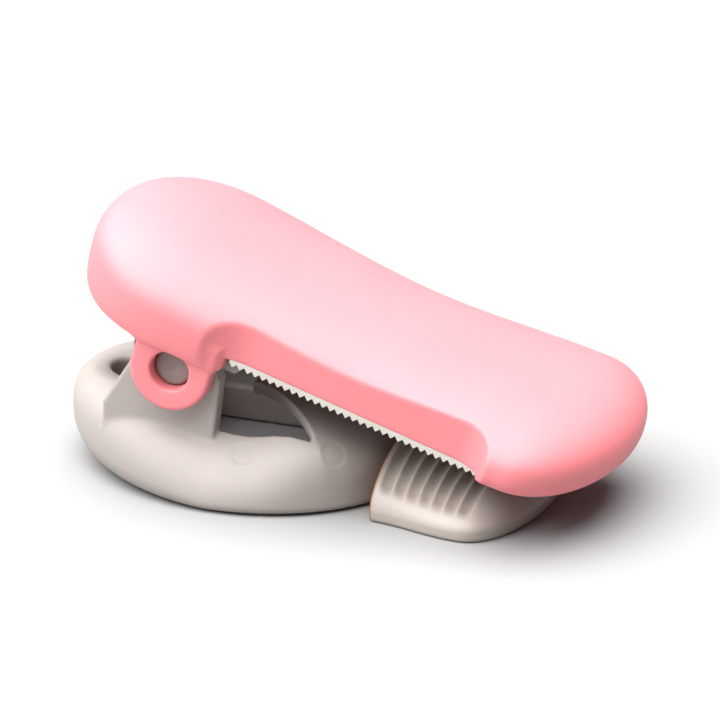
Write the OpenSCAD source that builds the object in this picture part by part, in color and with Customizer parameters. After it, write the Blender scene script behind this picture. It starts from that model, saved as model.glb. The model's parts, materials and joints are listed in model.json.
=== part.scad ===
// Clip-on cutter for narrow tape rolls: a sprung lower lever and a hinged cover that
// carries a serrated blade. Millimetres. +X runs from the pivot to the jaw end, +Z is up,
// and the cutter rests on Z = 0 with its jaws closed.

/* [Overall] */
// Height of the pivot above the rest plane
pivot_h = 14; // [13:0.1:18]
// Nose-down tilt of the closed cover
cover_tilt = 16.6; // [10:0.1:20]

/* [Top cover] */
// Pivot to the centre of the round head end
head_x = -1.4; // [-3:0.1:0]
// Reach of the head end past its centre
head_reach = 12.7; // [11:0.1:16]
// Half-width of the head
head_half = 14; // [13.5:0.1:18]
// Pivot to the narrowest place of the cover
waist_x = 16; // [14:0.1:22]
// Half-width of the waist
waist_half = 13; // [12.4:0.1:16]
// Pivot to the centre of the jaw end
tail_x = 36.4; // [35:0.1:44]
// Reach of the jaw end past its centre
tail_reach = 8.2; // [6:0.1:9]
// Half-width of the jaw end
tail_half = 14.9; // [14:0.1:18]
// Height of the shoulder line above the pivot at the head
head_top = 9.4; // [9:0.1:12]
// Height of the shoulder line at the waist
waist_top = 8.5; // [8.3:0.1:11]
// Height of the shoulder line at the jaw end
tail_top = 8.7; // [8:0.1:11]
// Rise of the crown above the shoulder line
crown_rise = 1; // [0.5:0.1:2]
// Height of the shoulder line above the cover's widest line
shoulder_h = 4; // [3:0.1:5]
// The same at the jaw end
tail_shoulder = 3.2; // [2.5:0.1:5]
// Height of the bottom rim above the pivot
rim_z = 2.2; // [1.8:0.1:3]
// Rise of the rim from the waist to the jaw end
tail_lift = 1.3; // [0:0.1:1.4]
// How far the rim curls in under the side
rim_curl = 0.8; // [0.5:0.1:1.2]
// The same at the jaw end
tail_curl = 2.6; // [0.9:0.1:2.8]
// Thickness of the cover's roof and rim
cover_wall = 1.5; // [1.2:0.1:1.8]

/* [Bay and blade] */
// Distance of the bay's flat wall from the centre plane
bay_y = 11.7; // [11.2:0.1:12]
// Start of the flat part of the bay
bay_x0 = 7.6; // [7:0.1:10]
// End of the flat part of the bay
bay_x1 = 30.4; // [28:0.1:33]
// Radius of the bay's end at the hinge
bay_r0 = 7; // [5:0.1:8]
// Radius of the bay's end at the jaw end
bay_r1 = 4.2; // [3.5:0.1:6]
// Height of the bay wall's lower edge above the pivot
bay_low = 3.6; // [3.3:0.1:4.2]
// Thickness of the bay wall in front of the blade
bay_wall = 0.7; // [0.5:0.1:1]
// Length of the blade
blade_len = 27.9; // [20:0.1:28.4]
// Blade thickness
blade_t = 0.25; // [0.15:0.01:0.3]
// Pivot to the left end of the blade
blade_x = 5.2; // [5:0.1:6]
// Height of the tooth tips above the pivot
tip_z = 2.45; // [2.2:0.05:3]
// Blade height, tips to back
blade_h = 3.4; // [2.5:0.1:3.4]
// Number of teeth
teeth = 33; // [20:1:40]
// Depth of the teeth
tooth_d = 0.45; // [0.3:0.01:0.6]
// Height of the blade holder's top above the pivot
holder_top = 5; // [4.8:0.1:5.4]

/* [Hinge] */
// Distance of the lugs' outer faces from the centre plane
lug_y = 12.8; // [12.4:0.1:13.4]
// Lug thickness
lug_t = 2; // [1.6:0.1:2.4]
// Lug radius
lug_r = 4.25; // [3.8:0.05:4.6]
// Pivot pin radius
pin_r = 2.03; // [1.5:0.01:2.2]
// Radial running clearance of the pin in the lugs
pin_clear = 0.05; // [0.02:0.01:0.1]
// How far the pin's ends stay below the lugs' outer faces
pin_recess = 1.3; // [0.6:0.1:1.6]
// Gap between a lug and the bearing wall beside it
lug_gap = 0.2; // [0.1:0.05:0.4]
// Bearing wall thickness
bearing_t = 2; // [1.5:0.1:2.4]
// Radius of the bearing wall's top around the pin
bearing_r = 4.1; // [3.6:0.1:4.4]

/* [Lower lever] */
// Pivot to the centre of the oval base
base_x = 4.2; // [3:0.1:6]
// Reach of the finger end past the base's centre
base_left = 18.6; // [18:0.1:24]
// Reach of the neck end past the base's centre
base_right = 17.2; // [17:0.1:20]
// Half-width of the oval base
base_half = 14.5; // [14:0.1:18]
// Height of the base's crown
base_top = 9.7; // [9.2:0.1:10.4]
// Height of the crown above the neck end
neck_top = 6; // [5:0.1:7]
// Thickness of the floor between the arms
floor_t = 1.3; // [1:0.1:2]
// Half-width of the opening between the arms
open_half = 8.9; // [8:0.1:9.2]
// Height of the lip along the arms' inner faces
lip_h = 3.6; // [2:0.1:4.5]
// How far the lip stands in from the arms
lip_in = 0.4; // [0.2:0.1:0.6]
// Pivot to the left end of the opening
open_x0 = -6.4; // [-6.8:0.1:-5]
// Pivot to the right corners of the opening
open_x1 = 14; // [12:0.1:15]
// Pivot to the tip of the tongue
tongue_x = 3.7; // [3.2:0.1:5]
// Depth of the finger dish below the crown
dish_d = 2.2; // [1:0.1:3]
// Radius of the spring pocket
pocket_r = 2.1; // [1.8:0.1:3]
// Pivot to the pocket's centre
pocket_x = -8.9; // [-10:0.1:-8.6]
// Radius of the finger dish
dish_r = 9; // [7:0.5:12]
// Wall under the spring pocket
pocket_floor = 2.4; // [1.5:0.1:4]

/* [Grip pad] */
// Pivot to the pad's left face
pad_x = 20.6; // [20:0.1:21]
// Pivot to the pad's nose end
pad_end = 36.2; // [32:0.1:40]
// Half-width of the pad at its left face
pad_half0 = 10.6; // [9:0.1:12]
// Half-width of the pad where it is widest
pad_half1 = 12.3; // [11:0.1:14]
// Height of the pad's arch at its left face
pad_top0 = 6.4; // [6:0.1:7]
// Nose-down slope of the pad's top
pad_slope = 9; // [5:0.5:10]
// Height of the pad's upright side edge
pad_side = 1.1; // [0.8:0.1:1.6]
// Number of grip ribs
ribs = 7; // [4:1:9]
// Rib pitch
rib_pitch = 1.48; // [1.2:0.01:1.7]
// Rib height
rib_h = 0.45; // [0.2:0.05:0.6]
// Length of the pad's tenon inside the neck
tenon_len = 3.6; // [3:0.1:4]
// Half-width of the tenon
tenon_half = 3; // [2:0.1:3.5]
// Height of the tenon
tenon_h = 2; // [1.5:0.1:2.4]

/* [Spring] */
// Wire diameter
wire_d = 0.8; // [0.6:0.05:1]
// Gap between the coil's bore and the pin
coil_gap = 0.4; // [0.2:0.05:0.6]
// Number of coil turns
turns = 5; // [3:1:6]
// Gap between the coil's turns
turn_gap = 0.1; // [0.05:0.05:0.3]

/* [Hidden] */
eps = 0.01;

// The origin lies under the middle of the overall length.
left_end = base_x - base_left;
nose_z = (tail_top + rim_z + tail_lift) / 2;
right_end = (tail_x + tail_reach) * cos(cover_tilt) + nose_z * sin(cover_tilt);
pivot_x = -(left_end + right_end) / 2;

// Smooth step from 0 to 1
function ease(t) = let (u = min(1, max(0, t))) u * u * (3 - 2 * u);
// Radius of a superellipse with half-axes a and b at angle q
function super_r(q, a, b, n) =
    pow(pow(abs(cos(q)) / a, n) + pow(abs(sin(q)) / b, n), -1 / n);

// ---- Cover surface, in the cover's own frame around the pivot ----
head_n = 2.2;
roof_n = 2.5;
tail_n = 1.95;
cap_steps = 20;
side_steps = 14;
function cover_half(x) = x < waist_x
    ? head_half + (waist_half - head_half) * ease((x - head_x) / (waist_x - head_x))
    : waist_half + (tail_half - waist_half) * ease((x - waist_x) / (tail_x - waist_x));
// Shoulder height: one parabola through the head, waist and tail heights
function shoulder_z(x) =
    head_top * (x - waist_x) * (x - tail_x) / ((head_x - waist_x) * (head_x - tail_x))
    + waist_top * (x - head_x) * (x - tail_x) / ((waist_x - head_x) * (waist_x - tail_x))
    + tail_top * (x - head_x) * (x - waist_x) / ((tail_x - head_x) * (tail_x - waist_x));
// Shoulder height, rim height and curl, all changing from the waist to the jaw end
function shoulder_at(x) = shoulder_h
    + (tail_shoulder - shoulder_h) * ease((x - waist_x) / (tail_x - waist_x));
function rim_at(x) = rim_z + tail_lift * ease((x - waist_x) / (tail_x + tail_reach - waist_x));
function curl_at(x) = rim_curl + (tail_curl - rim_curl) * ease((x - waist_x) / (tail_x - waist_x));
// Stations round the outline: [spine x, direction angle, distance to the outline]
cover_stations = concat(
    [for (i = [0:cap_steps]) let (q = 90 + 180 * i / cap_steps)
        [head_x, q, super_r(q, head_reach, head_half, head_n)]],
    [for (i = [1:side_steps - 1]) let (x = head_x + (tail_x - head_x) * i / side_steps)
        [x, 270, cover_half(x)]],
    [for (i = [0:cap_steps]) let (q = -90 + 180 * i / cap_steps)
        [tail_x, q, super_r(q, tail_reach, tail_half, tail_n)]],
    [for (i = [1:side_steps - 1]) let (x = tail_x - (tail_x - head_x) * i / side_steps)
        [x, 90, cover_half(x)]]);
function station_xy(s, r) = [s[0] + r * cos(s[1]), r * sin(s[1])];
// Inside of the near wall, behind the bay
bay_back = bay_y - bay_wall;
function cavity_r(s) = s[1] == 270 && s[0] > bay_x0 - 0.8 * bay_r0 && s[0] < bay_x1 + 0.8 * bay_r1
    ? bay_back : s[2] - cover_wall - curl_at(s[0]);

// Roof section: one crowned curve from the widest line over to the centre plane
function roof_ring(q, off) = [for (s = cover_stations)
    let (r = off > 0 ? cavity_r(s) : s[2], p = station_xy(s, r * pow(cos(q), 2 / roof_n)))
    [p[0], p[1], shoulder_z(p[0]) - shoulder_at(s[0])
        + (shoulder_at(s[0]) + crown_rise - off) * pow(sin(q), 2 / roof_n)]];
function curl_ring(q) = [for (s = cover_stations)
    let (p = station_xy(s, s[2] - curl_at(s[0]) * (1 - cos(q))),
         z = shoulder_z(p[0]) - shoulder_at(s[0]))
    [p[0], p[1], z - (z - rim_at(p[0])) * sin(q)]];
inner_rim = [for (s = cover_stations) let (p = station_xy(s, cavity_r(s)))
    [p[0], p[1], rim_at(p[0])]];

// ---- Base surface, in the part's directions around the point below the pivot ----
base_steps = 72;
function base_station(i) = let (q = 360 * i / base_steps,
    left = cos(q) < 0) [q, super_r(q, left ? base_left : base_right, base_half, 2)];
function base_eq(x) = 1 + 4.1 * pow(max(0, (base_x - x) / base_left), 1.15);
function base_crown(x) = x < tongue_x ? base_top : base_top
    - (base_top - neck_top) * pow((x - tongue_x) / (base_x + base_right - tongue_x), 2);
// Fullness of the dome: round over the arms, blunt towards the finger end and the neck
function base_n(q) = 1.7 + 2.3 * pow(max(0, -cos(q)), 2)
    + 2.9 * min(1, 3.2 * pow(max(0, cos(q)), 4));
function base_ring(f) = [for (i = [0:base_steps - 1])
    let (s = base_station(i), r = s[1] * f, x = base_x + r * cos(s[0]), n = base_n(s[0]),
         z = base_eq(base_x + s[1] * cos(s[0])))
    [x, r * sin(s[0]), z + (base_crown(x) - z) * pow(1 - pow(f, n), 1 / n)]];
function base_under(q) = [for (i = [0:base_steps - 1])
    let (s = base_station(i), z = base_eq(base_x + s[1] * cos(s[0])),
         r = s[1] - (0.35 + z) * (1 - cos(q)))
    [base_x + r * cos(s[0]), r * sin(s[0]), z * (1 - sin(q))]];

// ---- Pad surface ----
rib_steps = 6;
// Start of the round nose
pad_nose = pad_end - 5.6;
rib_x0 = pad_x + 0.7;
rib_x1 = rib_x0 + ribs * rib_pitch;
function pad_half(x) =
    pad_half0 + (pad_half1 - pad_half0) * ease((x - pad_x) / (pad_nose - pad_x));
function pad_crown(x) = pad_top0 - (x - pad_x) * tan(pad_slope);
// Ribs are crests between scooped grooves; they fade out above the side edge
function rib_cut(x, f) = x < rib_x0 || x > rib_x1 ? 0
    : rib_h * pow(abs(sin(180 * (x - rib_x0) / rib_pitch)), 0.8) * (1 - ease((f - 0.8) / 0.15));
pad_side_x = concat([pad_x], [for (i = [0:ribs * rib_steps]) rib_x0 + i * rib_pitch / rib_steps]);
pad_stations = concat(
    [for (x = pad_side_x) [x, 270, pad_half(x)]],
    [for (i = [0:cap_steps]) let (q = -90 + 180 * i / cap_steps)
        [max(pad_nose, rib_x1 + eps), q, super_r(q, pad_end - max(pad_nose, rib_x1 + eps),
            pad_half1, 2.2)]],
    [for (i = [len(pad_side_x) - 1:-1:0]) [pad_side_x[i], 90, pad_half(pad_side_x[i])]]);
function pad_ring(f) = [for (s = pad_stations) let (p = station_xy(s, s[2] * f))
    [p[0], p[1], pad_side + (pad_crown(p[0]) - pad_side) * pow(1 - pow(f, 1.8), 1 / 1.8)
        - rib_cut(p[0], f)]];
function pad_foot(inset) = [for (s = pad_stations) let (p = station_xy(s, s[2] - inset))
    [p[0], p[1], inset > 0 ? 0 : 0.4]];

// ---- Spring wire path, around the pivot: [x, y, z] ----
coil_r = pin_r + coil_gap + wire_d / 2;
turn_pitch = wire_d + turn_gap;
coil_w = turns * turn_pitch;
coil_steps = 20;
// The lower leg leaves the coil below the pin, bends over the pocket's edge and ends in it
leg_top = coil_r - 0.6;
spring_path = concat(
    [[-6.9, -coil_w / 2, 4.8], [-4.5, -coil_w / 2, 4.45]],
    [for (i = [0:turns * coil_steps + coil_steps / 2])
        let (q = 110 - 360 * i / coil_steps, k = i / coil_steps)
        [coil_r * cos(q), -coil_w / 2 + min(k, turns) * turn_pitch, coil_r * sin(q)]],
    [[-4.6, coil_w / 2, -leg_top], [pocket_x + 1.4, coil_w / 2 - 0.3, -leg_top - 0.1],
     [pocket_x + 0.5, coil_w / 2 - 0.5, -leg_top - 0.5],
     [pocket_x, coil_w / 2 - 0.7, -leg_top - 1.6],
     [pocket_x, coil_w / 2 - 0.7, pocket_floor + 1 - pivot_h]]);

// Solid from stacked rings of equal length. Each end is closed by a fan, or across the
// centre plane where points i and seam - i of a ring mirror each other.
module ring_loft(rings, seam = undef) {
    n = len(rings[0]);
    m = len(rings);
    first = mean(rings[0]);
    last = mean(rings[m - 1]);
    points = concat([for (r = rings) each r], [first, last]);
    sides = [for (k = [0:m - 2], i = [0:n - 1]) let (a = k * n + i, b = k * n + (i + 1) % n)
        each [[a, b, a + n], [b, b + n, a + n]]];
    top = (m - 1) * n;
    ends = seam == undef
        ? [for (i = [0:n - 1]) each [[m * n, (i + 1) % n, i],
            [m * n + 1, top + i, top + (i + 1) % n]]]
        : [for (i = [max(0, seam / 2):max(0, seam / 2) + ceil(n / 2) - 1]) let (a = i % n,
            b = (i + 1) % n, c = (seam - i - 1 + 2 * n) % n, d = (seam - i + 2 * n) % n)
            each [if (b != c && a != c) each [[c, b, a], [top + a, top + b, top + c]],
                if (a != d && a != c) each [[d, c, a], [top + a, top + c, top + d]]]];
    polyhedron(seam == undef ? points : [for (r = rings) each r],
        [for (f = concat(sides, ends)) [f[2], f[1], f[0]]], convexity = 8);
}
function mean(v) = [for (k = [0:2]) [for (p = v) p[k]] * [for (p = v) 1] / len(v)];

module in_cover() { translate([pivot_x, 0, pivot_h]) rotate([0, cover_tilt, 0]) children(); }
module on_base() { translate([pivot_x, 0, 0]) children(); }
// A cylinder along Y, centred on the centre plane
module cross_cylinder(r, length) {
    rotate([90, 0, 0]) cylinder(r = r, h = length, center = true, $fn = 64);
}
// A tube of round wire along a path
module wire(path, d, sides) {
    rings = [for (i = [0:len(path) - 1]) let (
        t = path[min(i + 1, len(path) - 1)] - path[max(i - 1, 0)],
        w = t / norm(t),
        u0 = abs(w[1]) < 0.8 ? cross(w, [0, 1, 0]) : cross(w, [1, 0, 0]),
        u = u0 / norm(u0), v = cross(w, u))
        [for (j = [0:sides - 1]) let (q = 360 * j / sides)
            path[i] + d / 2 * (cos(q) * u + sin(q) * v)]];
    ring_loft(rings);
}

// ---- Cover side ----
holder_t = 1.2;
post_x = [11, 27];
post_r = 1.6;
peg_r = 0.8;
module cover_shell() {
    ring_loft(concat(
        [for (q = [84, 78, 71, 62, 50, 36, 22, 10, 3, 0]) roof_ring(q, cover_wall)],
        [inner_rim],
        [for (q = [90:-30:30]) curl_ring(q)],
        [for (q = [0, 3, 8, 15, 24, 34, 44, 54, 64, 73, 80, 85]) roof_ring(q, 0)]),
        seam = cap_steps);
}
// Scooped bay on the near side: straight in the middle with a round end each way
module bay_cut() {
    for (end = [[bay_x0, bay_r0], [bay_x1, bay_r1]])
        translate([end[0], -bay_y - end[1], -1]) cylinder(r = end[1], h = 20, $fn = 96);
    translate([bay_x0, -bay_y - bay_r0, -1]) cube([bay_x1 - bay_x0, bay_r0, 20]);
    // Opening under the bay wall, where the blade shows
    translate([blade_x - 0.3, -bay_y - 1, -1])
        cube([blade_len + 0.6, 1 + bay_wall + eps, 1 + bay_low]);
}
// How far the lugs run up inside the cover above its rim
lug_root = 2.2;
module lugs() {
    for (side = [-1, 1]) translate([0, side * (lug_y - lug_t / 2), 0]) {
        cross_cylinder(lug_r, lug_t);
        translate([-lug_r, -lug_t / 2, 0]) cube([2 * lug_r, lug_t, rim_z + lug_root]);
    }
}
module top_cover() {
    color("lightpink") in_cover() {
        difference() {
            union() {
                difference() {
                    cover_shell();
                    bay_cut();
                    // Seat of the blade behind the bay wall
                    translate([blade_x - 0.05, -bay_back - eps, 0])
                        cube([blade_len + 0.1, blade_t + 2 * eps, tip_z + blade_h + 0.05]);
                }
                lugs();
            }
            cross_cylinder(pin_r + pin_clear, 40);
        }
        // Posts that carry the blade holder
        for (x = post_x) translate([x, 0, 0]) {
            translate([0, 0, holder_top])
                cylinder(r = post_r, h = shoulder_z(x) - holder_top - 0.2, $fn = 48);
            translate([0, 0, holder_top - holder_t])
                cylinder(r = peg_r, h = holder_t + eps, $fn = 32);
        }
    }
}
module blade() {
    pitch = blade_len / teeth;
    outline = concat([[0, blade_h], [0, tooth_d]],
        [for (i = [0:teeth - 1]) each [[(i + 0.5) * pitch, 0], [(i + 1) * pitch, tooth_d]]],
        [[blade_len, blade_h]]);
    color("gainsboro") in_cover() translate([blade_x, -bay_back + blade_t, tip_z])
        rotate([90, 0, 0]) linear_extrude(blade_t) polygon(outline);
}
// Inner plate that clamps the blade; its left corner is a small tab below the blade's end
tab_x = 4.4;
tab_len = 2.1;
tab_z = 1.6;
tab_t = 1.1;
holder_end = 35;
press_y = 4;
press_t = 1.2;
press_h = 1.6;
press_x0 = rib_x0 + 2;
press_x1 = rib_x1 - 1;
module blade_holder() {
    front = -bay_back + blade_t + 0.02;
    back = waist_half - cover_wall - rim_curl - 0.3;
    low = holder_top - holder_t;
    color("darkgray") in_cover() difference() {
        union() {
            translate([tab_x, front, low]) cube([holder_end - tab_x, back - front, holder_t]);
            translate([tab_x, front, tab_z]) cube([tab_len, tab_t, low - tab_z + eps]);
            // Press ribs that hold the tape down on the grip pad
            for (y = [-press_y, press_y])
                translate([press_x0, y - press_t / 2, low - press_h])
                    cube([press_x1 - press_x0, press_t, press_h + eps]);
        }
        for (x = post_x) translate([x, 0, low - 1])
            cylinder(r = peg_r + 0.05, h = holder_t + 2, $fn = 32);
    }
}

// ---- Lever side ----
// The opening's plan: straight sides, a blunt left end and a tongue from the right
module opening_plan(half) {
    n = 16;
    tongue = [for (i = [-n:n]) let (u = i / n)
        [tongue_x + (open_x1 - tongue_x) * pow(max(0, (abs(u) - 0.25) / 0.75), 0.55), -u * half]];
    polygon(concat([[open_x0 + 2, half], [open_x0, half - 2], [open_x0, 2 - half],
        [open_x0 + 2, -half]], [for (i = [2 * n:-1:0]) tongue[i]]));
}
dish_x = -7.6;
bearing_out = lug_y - lug_t - lug_gap;
module bearing_plan() {
    circle(r = bearing_r, $fn = 64);
    // The back edge leans, the front edge is steep, and the foot ends inside the ring
    lean = 59;
    drop = 7.5;
    foot = 3;
    touch = [-bearing_r * sin(lean), bearing_r * cos(lean)];
    corner = touch - [drop / tan(lean), drop];
    polygon([touch, corner, corner - [0, foot], [bearing_r - 0.3, corner[1] - foot],
        [bearing_r + 0.5, -1.2], [bearing_r, 0], [0, bearing_r]]);
}
module base_dome() {
    ring_loft(concat([for (q = [90:-22.5:22.5]) base_under(q)],
        [for (f = [1, 0.985, 0.95, 0.9, 0.82, 0.72, 0.6, 0.46, 0.3, 0.15]) base_ring(f)]));
}
under_end = pad_x - tenon_len - 0.8;
under_floor = [[0, -open_half], [under_end - 3.5, -open_half], [under_end, -open_half + 2.2],
    [under_end, open_half - 2.2], [under_end - 3.5, open_half], [0, open_half]];
module lower_lever() {
    color("silver") difference() {
        union() {
            on_base() difference() {
                base_dome();
                translate([0, 0, -1]) linear_extrude(30) opening_plan(open_half);
                translate([0, 0, lip_h]) linear_extrude(30) opening_plan(open_half + lip_in);
                // Finger dish
                translate([dish_x, 0, base_top + dish_r - dish_d]) sphere(r = dish_r, $fn = 64);
                // Spring pocket
                translate([pocket_x, 0, pocket_floor]) cylinder(r = pocket_r, h = 20, $fn = 48);
                // Flat face for the pad
                translate([pad_x, -20, -1]) cube([20, 40, 20]);
                // The floor is a thin skin: hollow below, as far as the pad's joint
                intersection() {
                    translate([0, 0, -floor_t]) base_dome();
                    translate([0, 0, -floor_t]) linear_extrude(20) polygon(under_floor);
                }
                tenon(0.05);
            }
            for (side = [-1, 1])
                translate([pivot_x, side * (bearing_out - bearing_t / 2) + bearing_t / 2, pivot_h])
                    rotate([90, 0, 0]) linear_extrude(bearing_t) bearing_plan();
        }
        translate([pivot_x, 0, pivot_h]) cross_cylinder(pin_r, 40);
    }
}
module tenon(clear) {
    translate([pad_x - tenon_len - clear, -tenon_half - clear, 0.6 - clear])
        cube([tenon_len + clear + 1, 2 * (tenon_half + clear), tenon_h + 2 * clear]);
}
module grip_pad() {
    color("gainsboro") on_base() {
        ring_loft(concat([pad_foot(0.5), pad_foot(0)],
            [for (f = [1, 0.985, 0.95, 0.9, 0.82, 0.7, 0.55, 0.4, 0.25, 0.1]) pad_ring(f)]),
            seam = -1);
        tenon(0);
    }
}
module pivot_pin() {
    length = 2 * (lug_y - pin_recess);
    chamfer = 0.3;
    color("gray") translate([pivot_x, 0, pivot_h]) {
        cross_cylinder(pin_r, length - 2 * chamfer);
        for (turn = [0, 180]) rotate([0, 0, turn]) translate([0, -length / 2 + chamfer, 0])
            rotate([90, 0, 0]) cylinder(r1 = pin_r, r2 = pin_r - chamfer, h = chamfer, $fn = 64);
    }
}
module torsion_spring() {
    color("dimgray") translate([pivot_x, 0, pivot_h]) wire(spring_path, wire_d, 8);
}

top_cover();
blade();
blade_holder();
lower_lever();
grip_pad();
pivot_pin();
torsion_spring();
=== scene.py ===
import json
import math

import bpy
import numpy as np
from mathutils import Matrix, Vector


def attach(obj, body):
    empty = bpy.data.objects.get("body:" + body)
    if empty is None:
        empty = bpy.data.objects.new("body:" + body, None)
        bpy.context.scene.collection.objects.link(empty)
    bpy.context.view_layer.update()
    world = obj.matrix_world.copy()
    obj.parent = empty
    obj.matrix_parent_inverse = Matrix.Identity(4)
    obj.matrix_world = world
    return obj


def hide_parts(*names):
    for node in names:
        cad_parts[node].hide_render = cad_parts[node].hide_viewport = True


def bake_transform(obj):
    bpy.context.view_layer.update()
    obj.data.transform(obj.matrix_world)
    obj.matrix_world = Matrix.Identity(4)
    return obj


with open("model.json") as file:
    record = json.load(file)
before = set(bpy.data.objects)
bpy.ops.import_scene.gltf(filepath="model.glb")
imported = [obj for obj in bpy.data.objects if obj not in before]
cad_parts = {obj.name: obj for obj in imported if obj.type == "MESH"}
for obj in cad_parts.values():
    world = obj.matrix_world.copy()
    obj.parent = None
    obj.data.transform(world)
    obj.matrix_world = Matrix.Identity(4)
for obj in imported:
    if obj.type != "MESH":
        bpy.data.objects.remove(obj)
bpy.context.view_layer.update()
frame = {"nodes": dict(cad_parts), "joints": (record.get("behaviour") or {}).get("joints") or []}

# ---------------------------------------------------------------------------------------------
# Lower lever: the oval ring that rests on the table, with the finger dish and spring pocket at
# one end and a thin floor running to the pad at the other. It is one injection moulding in warm
# grey acetal, and the two bearing walls that hold the hinge pin grow out of its sides.
# ---------------------------------------------------------------------------------------------
MM = 0.001
pivot = [c / MM for c in frame["joints"][0]["pos_m"]]  # hinge axis, millimetres


def meet(a, b, r):
    """Both at once, with an edge rounded over about r."""
    h = np.maximum(r - np.abs(a - b), 0) / r
    return np.maximum(a, b) + h * h * r / 4


def join(a, b, r):
    """Either one, with a fillet of about r in the corner."""
    return -meet(-a, -b, r)


def cut(a, b, r):
    """The first without the second, with the edge rounded over about r."""
    return meet(a, -b, r)


def ease(t):
    t = np.clip(t, 0, 1)
    return t * t * (3 - 2 * t)


def oval_reach(dx, dy, a, b, n):
    """Distance to a superellipse's edge in the direction (dx, dy)."""
    r = np.maximum(np.hypot(dx, dy), 1e-6)
    return ((np.abs(dx) / r / a) ** n + (np.abs(dy) / r / b) ** n) ** (-1 / n)


def bulge(u, v, n, reach_u, reach_v):
    """Depth below the curve u**n + v**n = 1, in millimetres; reach is each axis's real length."""
    u, v = np.maximum(u, 0), np.maximum(v, 0)
    rho = np.maximum((u ** n + v ** n) ** (1 / n), 1e-4)
    slope = np.hypot((u / rho) ** (n - 1) / reach_u, (v / rho) ** (n - 1) / reach_v)
    return (rho - 1) / np.maximum(slope, 1e-3)


def net(depth, low, high, step):
    """Quads around the space where depth(x, y, z) is below zero, and their corners pulled on to
    the surface itself, so that crowned faces stay smooth."""
    axes = [np.arange(a, b + step, step) for a, b in zip(low, high)]
    grid = depth(*np.meshgrid(*axes, indexing="ij")).astype(np.float32)
    solid = grid < 0
    corners = [(i, j, k) for i in (0, 1) for j in (0, 1) for k in (0, 1)]
    n = [s - 1 for s in solid.shape]
    filled = sum(solid[i:n[0] + i, j:n[1] + j, k:n[2] + k].astype(np.uint8) for i, j, k in corners)
    cell = np.argwhere((filled > 0) & (filled < 8))
    number = np.full(n, -1, np.int64)
    number[tuple(cell.T)] = np.arange(len(cell))
    value = np.stack([grid[cell[:, 0] + i, cell[:, 1] + j, cell[:, 2] + k]
                      for i, j, k in corners], 1)
    place, hits = np.zeros((len(cell), 3)), np.zeros((len(cell), 1))
    for a, ca in enumerate(corners):
        for b, cb in enumerate(corners):
            if b > a and sum(abs(p - q) for p, q in zip(ca, cb)) == 1:
                crossed = ((value[:, a] < 0) != (value[:, b] < 0))[:, None]
                t = (value[:, a] / np.where(crossed[:, 0], value[:, a] - value[:, b], 1))[:, None]
                place += crossed * (np.array(ca) + t * (np.array(cb) - np.array(ca)))
                hits += crossed
    point = np.array(low) + step * (cell + place / hits)
    start, probe = point.copy(), step / 8
    for _ in range(3):
        here = depth(*point.T)
        slope = np.stack([depth(*(point + probe * np.eye(3)[k]).T) - here for k in range(3)],
                         1) / probe
        size = np.maximum((slope ** 2).sum(1), 0.05)[:, None]
        point = point - np.clip(here[:, None] * slope / size, -step / 3, step / 3)
    point = start + np.clip(point - start, -step / 1.6, step / 1.6)
    quads = []
    for axis in range(3):
        u, v = (axis + 1) % 3, (axis + 2) % 3
        first, last = [slice(1, -1)] * 3, [slice(1, -1)] * 3
        first[axis], last[axis] = slice(0, -1), slice(1, None)
        changes = np.argwhere(solid[tuple(first)] != solid[tuple(last)])
        changes += [0 if k == axis else 1 for k in range(3)]
        inward = solid[tuple(changes.T)]
        ring = []
        for du, dv in ((1, 1), (0, 1), (0, 0), (1, 0)):
            at = changes.copy()
            at[:, u] -= du
            at[:, v] -= dv
            ring.append(number[tuple(at.T)])
        ring = np.stack(ring, 1)
        ring[~inward] = ring[~inward][:, ::-1]
        quads.append(ring)
    quads = np.concatenate(quads)
    return point, quads[(quads >= 0).all(1)]


def moulding(name, points, faces, place, body, slot, *nodes):
    """A smooth mesh object from millimetre points, put in place and given its body. The slot is not
    used.
    """
    mesh = bpy.data.meshes.new(name)
    mesh.from_pydata([tuple(p) for p in points * MM], [], [tuple(f) for f in faces.tolist()])
    mesh.transform(place)
    mesh.update()
    mesh.polygons.foreach_set("use_smooth", [True] * len(mesh.polygons))
    piece = bpy.data.objects.new(name, mesh)
    bpy.context.scene.collection.objects.link(piece)
    if body:
        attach(piece, body)
    if nodes:
        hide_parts(*nodes)
    return piece


on_base = Matrix.Translation((pivot[0] * MM, 0, 0))

base_x, base_left, base_right, base_half = 4.2, 18.6, 17.2, 14.5
base_top, neck_top, floor_t = 9.7, 6.0, 1.3
open_half, open_x0, open_x1, tongue_x = 8.9, -6.4, 14.0, 3.7
lip_h, lip_in = 3.6, 0.4
dish_x, dish_d, dish_r = -7.6, 2.2, 9.0
pocket_x, pocket_r, pocket_floor = -8.9, 2.1, 2.4
pad_x, under_end = 20.6, 16.2
pin_r, pivot_h = 2.03, pivot[2]
wall_y, wall_t, wall_r = 9.6, 2.0, 4.1
# The dome's section: an ellipse at its sides, squarer at the finger end and toward the pad
side_full, finger_full, pad_full = 1.7, 2.3, 2.9
widest_h, finger_lift = 1.0, 4.1
tuck_min = 0.35
# The tongue of floor between the jaws narrows to a point along a root-like curve
tongue_tip, tongue_curve = 0.25, 0.55
corner_r, edge_r, foot_r, dish_edge_r, pin_edge_r = 2.2, 0.3, 0.5, 0.9, 0.15


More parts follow.
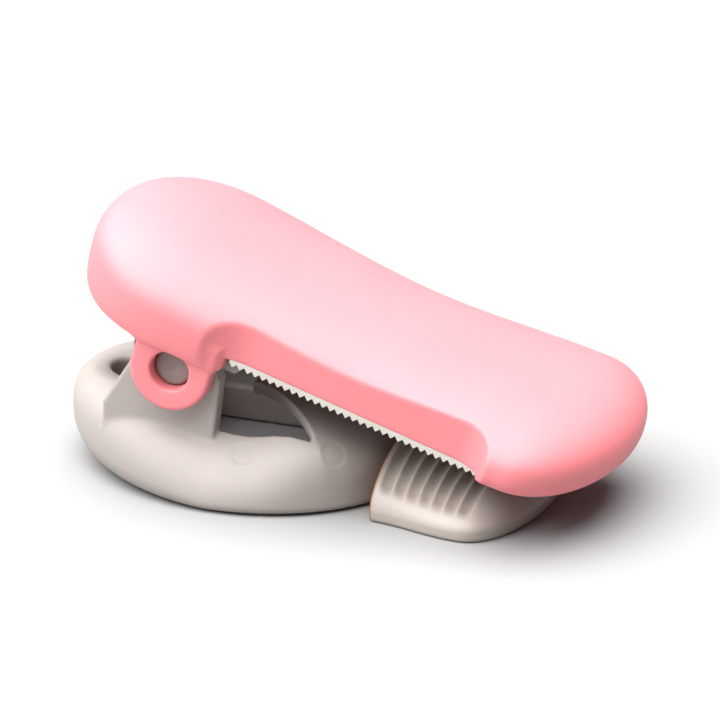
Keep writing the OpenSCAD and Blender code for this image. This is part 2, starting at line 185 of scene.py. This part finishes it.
def dome(x, y, z):
    dx = x - base_x
    reach = oval_reach(dx, y, np.where(dx < 0, base_left, base_right), base_half, 2)
    r = np.hypot(dx, y)
    c = dx / np.maximum(r, 1e-6)
    widest = widest_h + finger_lift * np.maximum(0, -reach * c / base_left) ** 1.15
    crown = base_top - (base_top - neck_top) * (
        np.maximum(x - tongue_x, 0) / (base_x + base_right - tongue_x)) ** 2
    full = (side_full + finger_full * np.maximum(0, -c) ** 2
            + pad_full * np.minimum(1, 3.2 * np.maximum(0, c) ** 4))
    rise = crown - widest
    over = bulge((z - widest) / rise, r / reach, full, rise, reach)
    tuck = tuck_min + widest
    under = bulge((widest - z) / widest, (tuck - reach + r) / tuck, 2, widest, tuck)
    return np.where(z > widest, over, under)


def ring_opening(x, y, half):
    t = np.clip((np.abs(y) / half - tongue_tip) / (1 - tongue_tip), 0.02, None)
    length = open_x1 - tongue_x
    tongue = tongue_x + length * t ** tongue_curve
    lean = (tongue_curve * length / ((1 - tongue_tip) * half)
            * t ** (tongue_curve - 1) * ease(t * 20 - 0.4))
    sides = meet(np.abs(y) - half, open_x0 - x, corner_r)
    return meet(sides, (x - tongue) / np.sqrt(1 + lean ** 2), foot_r)


def past_edge(x, z, at, facing):
    """Distance past a straight edge through the point `at`, in the direction `facing`."""
    return ((x - at[0]) * facing[0] + (z - at[1]) * facing[1]) / math.hypot(*facing)


def bearing_wall(x, y, z):
    """Round over the pin, with a slanted back and a steep front, down into the ring."""
    z = z - pivot_h
    slant = math.radians(59)
    plate = np.maximum.reduce([
        -x * math.sin(slant) + z * math.cos(slant) - wall_r, -8.0 - x, -8.4 - z,
        past_edge(x, z, (4.6, -1.2), (7.19, -0.8)), past_edge(x, z, (wall_r, 0), (1.2, 0.5)),
        past_edge(x, z, (wall_r, 0), (2.11, 7.61))])
    return meet(join(np.hypot(x, z) - wall_r, plate, 0.05),
                np.abs(np.abs(y) - wall_y) - wall_t / 2, 0.35)


def on_surface(depth, guess):
    """The nearest point of a surface to a guess, and the direction that it faces there."""
    p = np.array(guess, float)
    for _ in range(6):
        here = float(depth(*p))
        facing = np.array([float(depth(*(p + 0.01 * e))) - here for e in np.eye(3)]) / 0.01
        p = p - here * facing / (facing @ facing)
    return p, facing / np.linalg.norm(facing)


# Two marks of 2.8 mm ejector pins on the near arm, 0.08 mm deep
ejector_r, ejector_d = 1.4, 0.08
ejector_marks = [on_surface(dome, guess) for guess in ((7.4, -11.1, 5.6), (16.3, -9.0, 6.1))]


def lever_depth(x, y, z):
    body = meet(dome(x, y, z), -z, foot_r)
    body = cut(body, ring_opening(x, y, open_half), edge_r)
    body = cut(body, np.maximum(ring_opening(x, y, open_half + lip_in), lip_h - z), 0.35)
    hollow = meet(np.abs(y) - open_half, np.maximum(x - under_end, -x), corner_r)
    body = cut(body, np.maximum(dome(x, y, z + floor_t), hollow), 0.4)
    dish = np.sqrt((x - dish_x) ** 2 + y ** 2 + (z - base_top - dish_r + dish_d) ** 2)
    body = cut(body, dish - dish_r, dish_edge_r)
    pocket = np.maximum(np.hypot(x - pocket_x, y) - pocket_r, pocket_floor - z)
    body = cut(body, pocket, 0.45)
    for centre, facing in ejector_marks:
        dx, dy, dz = x - centre[0], y - centre[1], z - centre[2]
        out = dx * facing[0] + dy * facing[1] + dz * facing[2]
        away = np.sqrt(np.maximum(dx ** 2 + dy ** 2 + dz ** 2 - out ** 2, 0))
        body = body + ejector_d * ease((ejector_r - away) / 0.25) * (np.abs(out) < 1)
    body = meet(body, x - pad_x, edge_r)
    body = join(body, bearing_wall(x, y, z), 0.4)
    return cut(body, np.hypot(x, z - pivot_h) - pin_r, pin_edge_r)


lever_points, lever_faces = net(lever_depth, (-15, -15, -0.4), (21, 15, 18.6),
                                0.19)
lower_lever = moulding("lever_moulding", lever_points, lever_faces, on_base, "lever",
                       "lever_plastic", "lower_lever")


def srgb(text):
    """A linear colour from an sRGB hex value."""
    c = [int(text[i:i + 2], 16) / 255 for i in (1, 3, 5)]
    return [v / 12.92 if v <= 0.04045 else ((v + 0.055) / 1.055) ** 2.4 for v in c] + [1.0]


def new_material(name, **settings):
    """A material with its Principled shader; settings go straight on the shader's sockets."""
    material = bpy.data.materials.new(name)
    material.use_nodes = True
    shader = material.node_tree.nodes["Principled BSDF"]
    for key, value in settings.items():
        shader.inputs[key.replace("_", " ")].default_value = value
    return material, shader


def add(material, kind, links=(), **settings):
    """A node with its settings. Each link is (its input, a node, that node's output)."""
    node = material.node_tree.nodes.new(kind)
    for key, value in settings.items():
        if hasattr(node, key):
            setattr(node, key, value)
        else:
            node.inputs[key.replace("_", " ")].default_value = value
    for own, other, out in links:
        material.node_tree.links.new(other.outputs[out], node.inputs[own])
    return node


def wire_up(material, shader, socket, node, out):
    material.node_tree.links.new(node.outputs[out], shader.inputs[socket])


def moulded_finish(material, shader, low, high, grain_mm, grain_depth_mm, matt):
    """Moulded plastic: a slow drift of tone across the flow, the fine erosion grain that the
    tool leaves, and a gloss that changes a little with it."""
    at = add(material, "ShaderNodeTexCoord")
    flow = add(material, "ShaderNodeTexNoise", [("Vector", at, "Object")],
               Scale=1 / (9 * MM), Detail=2.0)
    tone = add(material, "ShaderNodeValToRGB", [("Fac", flow, "Fac")])
    tone.color_ramp.elements[0].color = srgb(low)
    tone.color_ramp.elements[0].position = 0.3
    tone.color_ramp.elements[1].color = srgb(high)
    tone.color_ramp.elements[1].position = 0.7
    wire_up(material, shader, "Base Color", tone, "Color")
    grain = add(material, "ShaderNodeTexNoise", [("Vector", at, "Object")],
                Scale=1 / (grain_mm * MM), Detail=3.0)
    skin = add(material, "ShaderNodeBump", [("Height", grain, "Fac")],
               Strength=0.5, Distance=grain_depth_mm * MM)
    wire_up(material, shader, "Normal", skin, "Normal")
    gloss = add(material, "ShaderNodeMapRange", [("Value", grain, "Fac")],
                **{"To Min": matt - 0.05, "To Max": matt + 0.05})
    wire_up(material, shader, "Roughness", gloss, "Result")
    return at, tone, skin


# Acetal, moulded against a finely eroded tool: even and dull, with a soft edge to highlights.
acetal, acetal_shader = new_material("moulded_acetal_warm_grey", IOR=1.48,
                                     Subsurface_Weight=0.06, Subsurface_Scale=1.0 * MM)
at, tone, skin = moulded_finish(acetal, acetal_shader, "#9e9691", "#a29a95", 0.16, 0.004, 0.5)


def painted_seam_shade(material, shader, at, colour, clear, shade_full):
    """Painted shade in the joint between lever and pad: a warm brown painted over the edge from
    `clear` to `shade_full`, in millimetres from the hinge."""
    x = add(material, "ShaderNodeSeparateXYZ", [("Vector", at, "Object")])
    near = add(material, "ShaderNodeMapRange", [("Value", x, "X")],
               **{"From Min": (pivot[0] + clear) * MM, "From Max": (pivot[0] + shade_full) * MM})
    seam = add(material, "ShaderNodeMix", [(0, near, "Result"), (6, colour[0], colour[1])],
               data_type="RGBA")
    # Warm brown painted shade for the gap in the joint between lever and pad.
    seam.inputs[7].default_value = srgb("#8a5a2c")
    wire_up(material, shader, "Base Color", seam, 2)


# Painted shade on the lever's side of its joint with the pad.
painted_seam_shade(acetal, acetal_shader, at, (tone, "Color"), pad_x - 0.5, pad_x - 0.15)
lower_lever.data.materials.append(acetal)

# ---------------------------------------------------------------------------------------------
# Grip pad: the ribbed nose that the tape is pressed on. A separate moulding in a slightly
# lighter polypropylene, pushed on to the lever's neck; its grooves are painted a darker warm shade.
# ---------------------------------------------------------------------------------------------
pad_end, pad_half0, pad_half1 = 36.2, 10.6, 12.3
pad_top0, pad_slope, pad_side = 6.4, math.tan(math.radians(9)), 1.1
ribs, rib_pitch, rib_h = 7, 1.48, 0.45
pad_nose = pad_end - 5.6
rib_x0 = pad_x + 0.7
rib_x1 = rib_x0 + ribs * rib_pitch


def pad_depth(x, y, z):
    half = pad_half0 + (pad_half1 - pad_half0) * ease((x - pad_x) / (pad_nose - pad_x))
    round_end = oval_reach(x - pad_nose, y, pad_end - pad_nose, pad_half1, 2.2)
    reach = np.where(x > pad_nose, round_end, half)
    r = np.where(x > pad_nose, np.hypot(x - pad_nose, y), np.abs(y))
    out = r / reach
    phase = (x - rib_x0) / rib_pitch
    groove = rib_h * np.abs(np.sin(np.pi * phase)) ** 0.8 * (1 - ease((out - 0.8) / 0.15))
    groove = np.where((phase < 0) | (phase > ribs), 0, groove)
    rise = pad_top0 - (x - pad_x) * pad_slope - pad_side
    over = bulge((z + groove - pad_side) / rise, out, 1.8, rise, reach)
    body = np.where(z + groove > pad_side, over, r - reach)
    return meet(meet(body, -z, 0.6), pad_x - x + 0.02, 0.3)


pad_points, pad_faces = net(pad_depth, (20, -13, -0.4), (37, 13, 7.2),
                            0.15)
grip_pad = moulding("grip_pad_moulding", pad_points, pad_faces, on_base, "lever",
                    "pad_plastic", "grip_pad")

# Polypropylene: a little waxy, so light spreads inside it; the grooves' warm tone is painted shade,
# set below.
polypropylene, pp_shader = new_material("moulded_polypropylene_pale_grey", IOR=1.49,
                                        Subsurface_Weight=0.1, Subsurface_Scale=1.2 * MM)
at, tone, skin = moulded_finish(polypropylene, pp_shader, "#a8a099", "#ada49d", 0.14, 0.004, 0.42)
# Painted shade: where pointiness is low, in the grooves, the tone is multiplied toward a warm brown;
# the crests keep the plain tone.
ridge = add(polypropylene, "ShaderNodeNewGeometry")
groove_shade_ramp = add(polypropylene, "ShaderNodeValToRGB", [("Fac", ridge, "Pointiness")])
groove_shade_ramp.color_ramp.elements[0].color = srgb("#a5876b")
groove_shade_ramp.color_ramp.elements[0].position = 0.44
groove_shade_ramp.color_ramp.elements[1].color = srgb("#ffffff")
groove_shade_ramp.color_ramp.elements[1].position = 0.505
tone_with_groove_shade = add(polypropylene, "ShaderNodeMix", [(6, tone, "Color"), (7, groove_shade_ramp, "Color")],
            data_type="RGBA", blend_type="MULTIPLY")
tone_with_groove_shade.inputs[0].default_value = 1.0
# Painted shade on the pad's side of its joint with the lever.
painted_seam_shade(polypropylene, pp_shader, at, (tone_with_groove_shade, 2), pad_x + 0.4, pad_x + 0.1)
grip_pad.data.materials.append(polypropylene)

# ---------------------------------------------------------------------------------------------
# Hinge pin: a plain round pin in grey acetal that is pressed through both bearing walls. Its
# ends sit below the lugs' faces, and each has a small chamfer and the dimple of its gate.
# ---------------------------------------------------------------------------------------------
pin_half, dimple_r, dimple_out = 11.5, 1.35, 1.15


def pin_depth(x, y, z):
    body = meet(np.hypot(x, z) - pin_r, np.abs(y) - pin_half, 0.45)
    dimple = np.sqrt(x ** 2 + z ** 2 + (np.abs(y) - pin_half - dimple_out) ** 2) - dimple_r
    return cut(body, dimple, 0.15)


at_pivot = Matrix.Translation(Vector(pivot) * MM)
pin_points, pin_faces = net(pin_depth, (-2.3, -12, -2.3), (2.3, 12, 2.3), 0.14)
pin = moulding("hinge_pin", pin_points, pin_faces, at_pivot, "lever", "pin_plastic", "pivot_pin")
pin_acetal, pin_shader = new_material("turned_acetal_pin_grey", IOR=1.48)
moulded_finish(pin_acetal, pin_shader, "#7d716d", "#857974", 0.12, 0.003, 0.5)
pin.data.materials.append(pin_acetal)

# ---------------------------------------------------------------------------------------------
# Torsion spring: five turns of 0.8 mm drawn steel wire around the pin. The upper leg pushes the
# cover up at the finger end, and the lower leg is bent down into the pocket in the lever.
# ---------------------------------------------------------------------------------------------
wire_d, turns, turn_gap, coil_gap = 0.8, 5, 0.1, 0.4
coil_r = pin_r + coil_gap + wire_d / 2
turn_pitch = wire_d + turn_gap
coil_w = turns * turn_pitch
coil_steps = 40
leg_top = coil_r - 0.6
coil = []
for i in range(turns * coil_steps + coil_steps // 2 + 1):
    q = math.radians(110 - 360 * i / coil_steps)
    coil.append((coil_r * math.cos(q),
                 -coil_w / 2 + min(i / coil_steps, turns) * turn_pitch, coil_r * math.sin(q)))
upper_leg = [(-6.9, -coil_w / 2, 4.8), (-5.7, -coil_w / 2, 4.63), (-4.5, -coil_w / 2, 4.45),
             (-2.8, -coil_w / 2, 3.9)]
lower_leg = [(-4.6, coil_w / 2, -leg_top), (pocket_x + 1.4, coil_w / 2 - 0.3, -leg_top - 0.1),
             (pocket_x + 0.5, coil_w / 2 - 0.5, -leg_top - 0.5),
             (pocket_x, coil_w / 2 - 0.7, -leg_top - 1.6),
             (pocket_x, coil_w / 2 - 0.7, pocket_floor + 1 - pivot_h)]


def smooth_path(points, parts):
    """A curve through all the points, with `parts` steps between two of them."""
    p = np.array([points[0], *points, points[-1]])
    out = []
    for k in range(1, len(p) - 2):
        for t in np.arange(parts) / parts:
            out.append(0.5 * (2 * p[k] + (p[k + 1] - p[k - 1]) * t
                       + (2 * p[k - 1] - 5 * p[k] + 4 * p[k + 1] - p[k + 2]) * t ** 2
                       + (3 * p[k] - p[k - 1] - 3 * p[k + 1] + p[k + 2]) * t ** 3))
    return np.array(out + [p[-1]])


def drawn_wire(path, d, sides):
    """Rings of points and quads along a path, with flat ends."""
    along = np.gradient(path, axis=0)
    along /= np.linalg.norm(along, axis=1)[:, None]
    side = np.cross(along[0], (0, 1, 0))
    points = []
    for p, w in zip(path, along):
        side = side - w * (side @ w)
        side /= np.linalg.norm(side)
        other = np.cross(w, side)
        for j in range(sides):
            q = 2 * math.pi * j / sides
            points.append(p + d / 2 * (math.cos(q) * side + math.sin(q) * other))
    n = len(path)
    faces = [(k * sides + j, k * sides + (j + 1) % sides, (k + 1) * sides + (j + 1) % sides,
              (k + 1) * sides + j) for k in range(n - 1) for j in range(sides)]
    for ring, flip in ((0, True), ((n - 1) * sides, False)):
        points.append(np.mean(points[ring:ring + sides], axis=0))
        for j in range(sides):
            tri = (len(points) - 1, ring + j, ring + (j + 1) % sides)
            tri = tri[::-1] if flip else tri
            faces.append(tri + tri[-1:])
    return np.array(points), np.array(faces)


spring_path = np.concatenate([smooth_path(upper_leg + coil[:2], 3)[:-4], np.array(coil),
                              smooth_path(coil[-1:] + lower_leg, 8)[1:]])
wire_points, wire_faces = drawn_wire(spring_path, wire_d, 16)
spring_mesh = bpy.data.meshes.new("torsion_spring_wire")
spring_mesh.from_pydata([tuple(p) for p in wire_points * MM], [],
                        [tuple(dict.fromkeys(f)) for f in wire_faces.tolist()])
spring_mesh.transform(at_pivot)
spring_mesh.polygons.foreach_set("use_smooth", [True] * len(spring_mesh.polygons))
spring = bpy.data.objects.new("torsion_spring_wire", spring_mesh)
bpy.context.scene.collection.objects.link(spring)
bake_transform(spring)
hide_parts("torsion_spring")
# Drawn spring wire, blued: dark, half polished, with fine die lines along it.
blued, blued_shader = new_material("blued_spring_wire", Metallic=1.0, Roughness=0.34,
                                   Anisotropic=0.3)
at = add(blued, "ShaderNodeTexCoord")
die = add(blued, "ShaderNodeTexNoise", [("Vector", at, "Object")], Scale=1 / (0.35 * MM))
shade = add(blued, "ShaderNodeValToRGB", [("Fac", die, "Fac")])
shade.color_ramp.elements[0].color = srgb("#4a4542")
shade.color_ramp.elements[1].color = srgb("#77706a")
wire_up(blued, blued_shader, "Base Color", shade, "Color")
spring.data.materials.append(blued)

# ---------------------------------------------------------------------------------------------
# Top cover: the long crowned shell that the thumb presses, with a scooped bay along one side
# for the blade and a lug on each side for the pin. One moulding in pink ABS, 1.5 mm thick.
# ---------------------------------------------------------------------------------------------
tilt = math.radians(16.6)
head_x, head_reach, head_half, head_n = -1.4, 12.7, 14.0, 2.2
waist_x, waist_half = 16.0, 13.0
tail_x, tail_reach, tail_half, tail_n = 36.4, 8.2, 14.9, 1.95
head_top, waist_top, tail_top, crown_rise = 9.4, 8.5, 8.7, 1.0
shoulder_h, tail_shoulder, roof_n = 4.0, 3.2, 2.5
rim_z, tail_lift, rim_curl, tail_curl, cover_wall = 2.2, 1.3, 0.8, 2.6, 1.5
bay_y, bay_x0, bay_x1, bay_r0, bay_r1 = 11.7, 7.6, 30.4, 7.0, 4.2
bay_low, bay_back = 3.6, 11.0
blade_x, blade_len, blade_top = 5.2, 27.9, 5.85
lug_y, lug_t, lug_r, lug_bore, lug_root = 12.8, 2.0, 4.25, 2.08, 2.2
holder_top, post_x, post_r, peg_r = 5.0, (11, 27), 1.6, 0.8


def outline(x, y):
    """Distance out from the cover's spine, and the outline's own distance there."""
    dx = x - np.clip(x, head_x, tail_x)
    r = np.hypot(dx, y)
    half = np.where(x < waist_x,
                    head_half + (waist_half - head_half) * ease((x - head_x) / (waist_x - head_x)),
                    waist_half + (tail_half - waist_half) * ease((x - waist_x) / (tail_x - waist_x)))
    reach = np.where(dx < 0, oval_reach(dx, y, head_reach, head_half, head_n), half)
    return r, np.where(dx > 0, oval_reach(dx, y, tail_reach, tail_half, tail_n), reach)


def shoulder_z(x):
    h, w, t = head_x, waist_x, tail_x
    return (head_top * (x - w) * (x - t) / ((h - w) * (h - t))
            + waist_top * (x - h) * (x - t) / ((w - h) * (w - t))
            + tail_top * (x - h) * (x - w) / ((t - h) * (t - w)))


def toward_tail(x, far=tail_x):
    return ease((x - waist_x) / (far - waist_x))


def cover_depth(x, y, z):
    r, reach = outline(x, y)
    shoulder = shoulder_h + (tail_shoulder - shoulder_h) * toward_tail(x)
    top, widest = shoulder_z(x), shoulder_z(x) - shoulder
    height = shoulder + crown_rise
    outer = bulge((z - widest) / height, r / reach, roof_n, height, reach)
    curl = rim_curl + (tail_curl - rim_curl) * toward_tail(np.clip(x, head_x, tail_x))
    drop = widest - rim_z - tail_lift * toward_tail(x, tail_x + tail_reach)
    under = bulge((widest - z) / drop, (curl - reach + r) / curl, 2, drop, curl)
    shell = np.where(z > widest, outer, under)
    # The hollow inside, with its own rounded roof
    inner = reach - cover_wall - curl
    height = height - cover_wall
    roof = bulge((z - widest) / height, r / inner, roof_n, height, inner)
    hollow = np.where(z > widest, roof, r - inner)
    hollow = meet(hollow, -bay_back - y, 0.4)
    shell = cut(shell, hollow, 0.5)
    # The bay, and the slot under its wall where the blade shows
    scoop = np.where(x < bay_x0, np.hypot(x - bay_x0, y + bay_y + bay_r0) - bay_r0, y + bay_y)
    scoop = np.where(x > bay_x1, np.hypot(x - bay_x1, y + bay_y + bay_r1) - bay_r1, scoop)
    shell = cut(shell, scoop, 0.3)
    slot = np.maximum.reduce([np.abs(x - blade_x - blade_len / 2) - blade_len / 2 - 0.3,
                              -bay_y - 1 - y, y + bay_back - 0.02, z - bay_low])
    shell = cut(shell, slot, 0.3)
    seat = np.maximum.reduce([np.abs(x - blade_x - blade_len / 2) - blade_len / 2 - 0.1,
                              -bay_back - y, y + bay_back - 0.6, z - blade_top - 0.1])
    shell = cut(shell, seat, 0.05)
    # Lugs
    ear = np.where(z > 0, np.abs(x) - lug_r, np.hypot(x, z) - lug_r)
    ear = meet(np.maximum(ear, z - rim_z - lug_root),
               np.abs(np.abs(y) - lug_y + lug_t / 2) - lug_t / 2, 0.5)
    shell = join(shell, ear, 0.9)
    shell = cut(shell, np.hypot(x, z) - lug_bore, 0.3)
    # Posts and pegs for the blade holder
    for px in post_x:
        away = np.hypot(x - px, y)
        post = np.maximum.reduce([away - post_r, holder_top - z, z - top])
        peg = np.maximum.reduce([away - peg_r, holder_top - 1.2 - z, z - top])
        shell = np.minimum(join(shell, post, 0.5), peg)
    return shell


in_cover = at_pivot @ Matrix.Rotation(tilt, 4, "Y")
cover_points, cover_faces = net(cover_depth, (-14.6, -15.4, -4.6), (45, 15.4, 10.9),
                                0.225)
cover = moulding("cover_shell", cover_points, cover_faces, in_cover, "cover", "cover_plastic",
                 "top_cover")
# ABS, moulded in a polished tool and left satin: clean colour, wide soft highlights.
abs_pink, abs_shader = new_material("moulded_abs_satin_pink", IOR=1.52, Subsurface_Weight=0.12,
                                    Subsurface_Scale=1.5 * MM,
                                    Subsurface_Radius=(1.0, 0.45, 0.4))
moulded_finish(abs_pink, abs_shader, "#dd7b81", "#df7e84", 0.2, 0.003, 0.56)
cover.data.materials.append(abs_pink)

# ---------------------------------------------------------------------------------------------
# Blade holder: the inner plate that clamps the blade against the bay wall. Moulded in smoky
# translucent plastic and held on the cover's two pegs; two press ribs hold the tape down.
# ---------------------------------------------------------------------------------------------
holder_t, tab_x, tab_len, tab_z, holder_end = 1.2, 4.4, 2.1, 1.6, 35.0
tab_t = 1.1
press_y, press_t, press_h, press_x0, press_x1 = 4, 1.2, 1.6, rib_x0 + 2, rib_x1 - 1
holder_front, holder_back = -10.73, waist_half - cover_wall - rim_curl - 0.3


def slab(x, y, z, x0, x1, y0, y1, z0, z1, r):
    """A box with its edges rounded over about r."""
    return meet(meet(np.abs(x - (x0 + x1) / 2) - (x1 - x0) / 2,
                     np.abs(y - (y0 + y1) / 2) - (y1 - y0) / 2, r),
                np.abs(z - (z0 + z1) / 2) - (z1 - z0) / 2, r)


def holder_depth(x, y, z):
    low = holder_top - holder_t
    body = slab(x, y, z, tab_x, holder_end, holder_front, holder_back, low, holder_top, 0.4)
    tab = slab(x, y, z, tab_x, tab_x + tab_len, holder_front, holder_front + tab_t, tab_z,
               holder_top, 0.3)
    tab = meet(tab, (x - tab_x - tab_len) + (tab_z + 0.5 - z), 0.2)
    body = join(body, tab, 0.3)
    for py in (-press_y, press_y):
        press = slab(x, y, z, press_x0, press_x1, py - press_t / 2, py + press_t / 2,
                     low - press_h, holder_top, 0.4)
        body = join(body, press, 0.3)
    for px in post_x:
        body = cut(body, np.hypot(x - px, y) - peg_r - 0.05, 0.1)
    return body


holder_points, holder_faces = net(holder_depth, (4, -11.1, 1.2), (35.4, 11.1, 5.4), 0.2)
holder = moulding("blade_holder_plate", holder_points, holder_faces, in_cover, "cover",
                  "holder_plastic", "blade_holder")
smoky, smoky_shader = new_material("moulded_polycarbonate_smoke", IOR=1.58)
moulded_finish(smoky, smoky_shader, "#7d746f", "#857b76", 0.15, 0.003, 0.32)
holder.data.materials.append(smoky)

# ---------------------------------------------------------------------------------------------
# Blade: a 0.25 mm strip of stainless steel, stamped with a row of teeth and laid behind the bay
# wall so that only its teeth stand out below it.
# ---------------------------------------------------------------------------------------------
blade = frame["nodes"]["blade"]
stainless, steel_shader = new_material("rolled_stainless_strip", Metallic=1.0, Anisotropic=0.35)
at = add(stainless, "ShaderNodeTexCoord")
# Rolling marks run along the strip, drawn 0.12 mm apart.
along_strip = add(stainless, "ShaderNodeMapping", [("Vector", at, "Object")],
                  Rotation=(0, -tilt, 0), Scale=(0.03, 1, 1))
rolled = add(stainless, "ShaderNodeTexNoise", [("Vector", along_strip, "Vector")],
             Scale=1 / (0.12 * MM), Detail=2.0)
tone = add(stainless, "ShaderNodeValToRGB", [("Fac", rolled, "Fac")])
tone.color_ramp.elements[0].color = srgb("#c9c5bb")
tone.color_ramp.elements[1].color = srgb("#ebe7de")
wire_up(stainless, steel_shader, "Base Color", tone, "Color")
gloss = add(stainless, "ShaderNodeMapRange", [("Value", rolled, "Fac")],
            **{"To Min": 0.22, "To Max": 0.4})
wire_up(stainless, steel_shader, "Roughness", gloss, "Result")
blade.data.materials.clear()
blade.data.materials.append(stainless)

# ---------------------------------------------------------------------------------------------
# Table, studio light and camera: a pale sheet under the cutter, a wide soft light overhead, a
# weak low one from the front left, and a long lens that looks down on the blade's side.
# ---------------------------------------------------------------------------------------------
table_mesh = bpy.data.meshes.new("table_sheet")
table_mesh.from_pydata([(-3, -3, 0), (3, -3, 0), (3, 3, 0), (-3, 3, 0)], [], [(0, 1, 2, 3)])
table = bpy.data.objects.new("table_sheet", table_mesh)
table.location.z = -0.02 * MM  # just clear of the lever's flat underside
bpy.context.scene.collection.objects.link(table)
paper, paper_shader = new_material("matt_white_paper", Roughness=0.9)
paper_shader.inputs["Base Color"].default_value = srgb("#9c9c9c")
table.data.materials.append(paper)

world = bpy.data.worlds.new("studio")
world.use_nodes = True
world.node_tree.nodes["Background"].inputs["Color"].default_value = srgb("#ffffff")
world.node_tree.nodes["Background"].inputs["Strength"].default_value = 0.12
bpy.context.scene.world = world
bpy.context.scene.view_settings.view_transform = "Standard"


def soft_light(name, place, aim, size, power):
    lamp = bpy.data.lights.new(name, "AREA")
    lamp.shape = "DISK"
    lamp.size, lamp.energy = size, power
    stand = bpy.data.objects.new(name, lamp)
    stand.location = place
    stand.rotation_euler = (Vector(aim) - Vector(place)).to_track_quat("-Z", "Y").to_euler()
    bpy.context.scene.collection.objects.link(stand)


soft_light("key_softbox", (-0.12, -0.03, 0.5), (0, 0, 0.01), 1.1, 17.5)
soft_light("front_fill", (-0.4, -0.36, 0.16), (0, 0, 0.01), 0.5, 1.2)

azimuth, elevation = math.radians(21.5), math.radians(23.2)
right = Vector((math.cos(azimuth), math.sin(azimuth), 0))
back = Vector((math.sin(azimuth) * math.cos(elevation), -math.cos(azimuth) * math.cos(elevation),
               math.sin(elevation)))
up = back.cross(right)
# The view is centred a little right of the near lug and above the hinge.
centre = Vector((pivot[0], -lug_y, pivot[2])) + right * 19.15 + up * 1.18
camera_data = bpy.data.cameras.new("camera")
camera_data.type = "ORTHO"
camera_data.ortho_scale = 72 * MM
camera = bpy.data.objects.new("camera", camera_data)
camera.matrix_world = Matrix.Translation(centre * MM + back * 0.6) @ Matrix(
    (right, up, back)).transposed().to_4x4()
bpy.context.scene.collection.objects.link(camera)
bpy.context.scene.camera = camera
